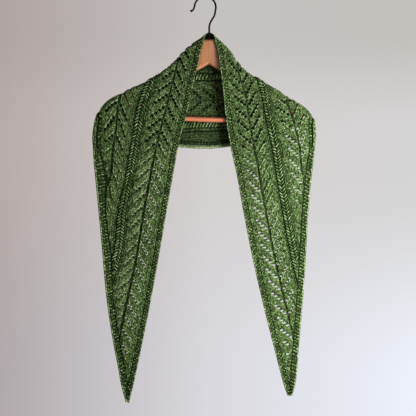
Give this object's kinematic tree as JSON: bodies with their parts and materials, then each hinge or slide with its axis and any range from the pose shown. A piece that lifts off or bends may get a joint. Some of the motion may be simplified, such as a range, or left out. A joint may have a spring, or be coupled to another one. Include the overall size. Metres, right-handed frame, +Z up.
{
  "type": "lace scarf on clothes hanger",
  "caption": "Long triangular knitted lace scarf folded over a wooden clothes hanger with a trouser bar and a wire hook.",
  "frame": {"origin": "the inner top of the hanger's hook, where a rod or a wall hook holds it", "axes": "+Z up, +X to the viewer's right, the front faces -Y"},
  "size_m": [0.4683, 0.0293, 0.8519],
  "materials": {
    "knit": "heathered green knitted wool, matt",
    "hanger_wood": "satin varnish",
    "bar_wood": "satin varnish, redder than the arms",
    "hook_wire": "black, semi-gloss"
  },
  "bodies": {
    "root": {"scarf_front_left": "knit", "scarf_front_right": "knit", "scarf_back": "knit", "hanger_body": "hanger_wood", "trouser_bar": "bar_wood", "hanger_hook": "hook_wire"}
  },
  "joints": []
}
